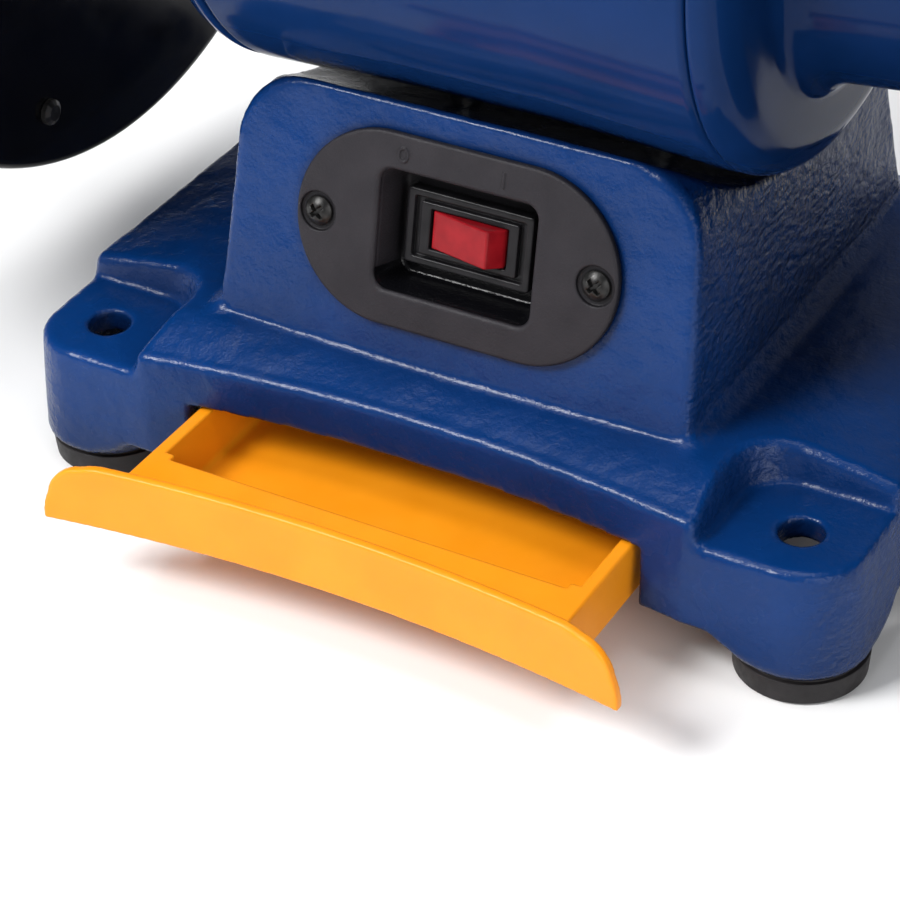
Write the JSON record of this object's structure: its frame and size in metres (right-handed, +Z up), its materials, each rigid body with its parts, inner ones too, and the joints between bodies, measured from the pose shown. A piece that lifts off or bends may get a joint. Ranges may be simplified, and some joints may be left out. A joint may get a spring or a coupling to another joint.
{
  "type": "bench grinder with coolant tray",
  "caption": "Two-wheel bench grinder on a cast pedestal base with a pull-out coolant tray, a lit rocker switch, guards, tool rests and eye shields.",
  "frame": {"origin": "on the floor at the centre of the bounding box, under the middle of the machine", "axes": "+X to the machine's right along the shaft, +Y to its back, +Z up"},
  "size_m": [0.4178, 0.2817, 0.291],
  "materials": {
    "base_casting": "gloss enamel over a rough casting",
    "cover_plate": "zinc-plated sheet",
    "tray_runner_left": "zinc-plated sheet",
    "tray_runner_right": "zinc-plated sheet",
    "coolant_tray": "satin moulded",
    "switch_plate": "fine texture",
    "switch_housing": "gloss moulded",
    "rocker": "clear red lens",
    "motor_housing": "smooth gloss enamel",
    "stator_core": "bare laminations",
    "rotor": "bare laminations",
    "shaft": "ground",
    "capacitor": "satin can",
    "cord_gland": "satin moulded",
    "foot_front_left": "moulded rubber",
    "foot_front_right": "moulded rubber",
    "foot_rear_left": "moulded rubber",
    "foot_rear_right": "moulded rubber",
    "cover_screw_left": "zinc-plated",
    "plate_screw_left": "black oxide",
    "motor_bolt_left": "zinc-plated",
    "end_bell_left": "smooth gloss enamel",
    "bearing_left": "ground",
    "winding_left": "varnished copper wire",
    "guard_left": "semi-gloss black",
    "guard_cover_left": "semi-gloss black",
    "guard_screw_left_1": "zinc-plated",
    "guard_screw_left_2": "zinc-plated",
    "guard_screw_left_3": "zinc-plated",
    "lug_screw_left": "black oxide",
    "inner_flange_left": "turned",
    "outer_flange_left": "turned",
    "wheel_left": "vitrified abrasive",
    "arbor_nut_left": "zinc-plated",
    "tool_rest_left": "milled",
    "rest_knob_left": "satin moulded",
    "shield_bracket_left": "black enamel",
    "eye_shield_left": "clear moulded",
    "cover_screw_right": "zinc-plated",
    "plate_screw_right": "black oxide",
    "motor_bolt_right": "zinc-plated",
    "end_bell_right": "smooth gloss enamel",
    "bearing_right": "ground",
    "winding_right": "varnished copper wire",
    "guard_right": "semi-gloss black",
    "guard_cover_right": "semi-gloss black",
    "guard_screw_right_1": "zinc-plated",
    "guard_screw_right_2": "zinc-plated",
    "guard_screw_right_3": "zinc-plated",
    "lug_screw_right": "black oxide",
    "inner_flange_right": "turned",
    "outer_flange_right": "turned",
    "wheel_right": "vitrified abrasive",
    "arbor_nut_right": "zinc-plated",
    "tool_rest_right": "milled",
    "rest_knob_right": "satin moulded",
    "shield_bracket_right": "black enamel",
    "eye_shield_right": "clear moulded"
  },
  "bodies": {
    "stand": {"base_casting": "base_casting", "cover_plate": "cover_plate", "tray_runner_left": "tray_runner_left", "tray_runner_right": "tray_runner_right", "switch_plate": "switch_plate", "switch_housing": "switch_housing", "motor_housing": "motor_housing", "stator_core": "stator_core", "capacitor": "capacitor", "cord_gland": "cord_gland", "foot_front_left": "foot_front_left", "foot_front_right": "foot_front_right", "foot_rear_left": "foot_rear_left", "foot_rear_right": "foot_rear_right", "cover_screw_left": "cover_screw_left", "plate_screw_left": "plate_screw_left", "motor_bolt_left": "motor_bolt_left", "end_bell_left": "end_bell_left", "bearing_left": "bearing_left", "winding_left": "winding_left", "guard_left": "guard_left", "guard_cover_left": "guard_cover_left", "guard_screw_left_1": "guard_screw_left_1", "guard_screw_left_2": "guard_screw_left_2", "guard_screw_left_3": "guard_screw_left_3", "lug_screw_left": "lug_screw_left", "shield_bracket_left": "shield_bracket_left", "cover_screw_right": "cover_screw_right", "plate_screw_right": "plate_screw_right", "motor_bolt_right": "motor_bolt_right", "end_bell_right": "end_bell_right", "bearing_right": "bearing_right", "winding_right": "winding_right", "guard_right": "guard_right", "guard_cover_right": "guard_cover_right", "guard_screw_right_1": "guard_screw_right_1", "guard_screw_right_2": "guard_screw_right_2", "guard_screw_right_3": "guard_screw_right_3", "lug_screw_right": "lug_screw_right", "shield_bracket_right": "shield_bracket_right"},
    "tray": {"coolant_tray": "coolant_tray"},
    "rocker_lens": {"rocker": "rocker"},
    "spindle": {"shaft": "shaft", "rotor": "rotor", "inner_flange_left": "inner_flange_left", "outer_flange_left": "outer_flange_left", "wheel_left": "wheel_left", "arbor_nut_left": "arbor_nut_left", "inner_flange_right": "inner_flange_right", "outer_flange_right": "outer_flange_right", "wheel_right": "wheel_right", "arbor_nut_right": "arbor_nut_right"},
    "rest_left": {"tool_rest_left": "tool_rest_left"},
    "knob_left": {"rest_knob_left": "rest_knob_left"},
    "shield_left": {"eye_shield_left": "eye_shield_left"},
    "rest_right": {"tool_rest_right": "tool_rest_right"},
    "knob_right": {"rest_knob_right": "rest_knob_right"},
    "shield_right": {"eye_shield_right": "eye_shield_right"}
  },
  "joints": [
    {"name": "tray_slide", "type": "slide", "parent": "stand", "child": "tray", "axis": [0, -1, 0], "range_m": [-0.031, 0.07]},
    {"name": "rocker_tilt", "type": "hinge", "parent": "stand", "child": "rocker_lens", "pos_m": [0.0008, -0.02544, 0.08012], "axis": [0, 0.2199, 0.9755], "range_deg": [0, 16]},
    {"name": "spindle_spin", "type": "hinge", "parent": "stand", "child": "spindle", "pos_m": [0, 0.0252, 0.167], "axis": [1, 0, 0], "continuous": true},
    {"name": "rest_slide_left", "type": "slide", "parent": "stand", "child": "rest_left", "axis": [0, -1, 0], "range_m": [-0.002, 0.008]},
    {"name": "knob_turn_left", "type": "hinge", "parent": "stand", "child": "knob_left", "pos_m": [-0.1946, -0.0368, 0.14], "axis": [-1, 0, 0], "range_deg": [0, 180]},
    {"name": "shield_tilt_left", "type": "hinge", "parent": "stand", "child": "shield_left", "pos_m": [-0.163, -0.0708, 0.285], "axis": [-1, 0, 0], "range_deg": [-20, 35]},
    {"name": "rest_slide_right", "type": "slide", "parent": "stand", "child": "rest_right", "axis": [0, -1, 0], "range_m": [-0.002, 0.008]},
    {"name": "knob_turn_right", "type": "hinge", "parent": "stand", "child": "knob_right", "pos_m": [0.1946, -0.0368, 0.14], "axis": [1, 0, 0], "range_deg": [0, 180]},
    {"name": "shield_tilt_right", "type": "hinge", "parent": "stand", "child": "shield_right", "pos_m": [0.163, -0.0708, 0.285], "axis": [-1, 0, 0], "range_deg": [-20, 35]}
  ]
}
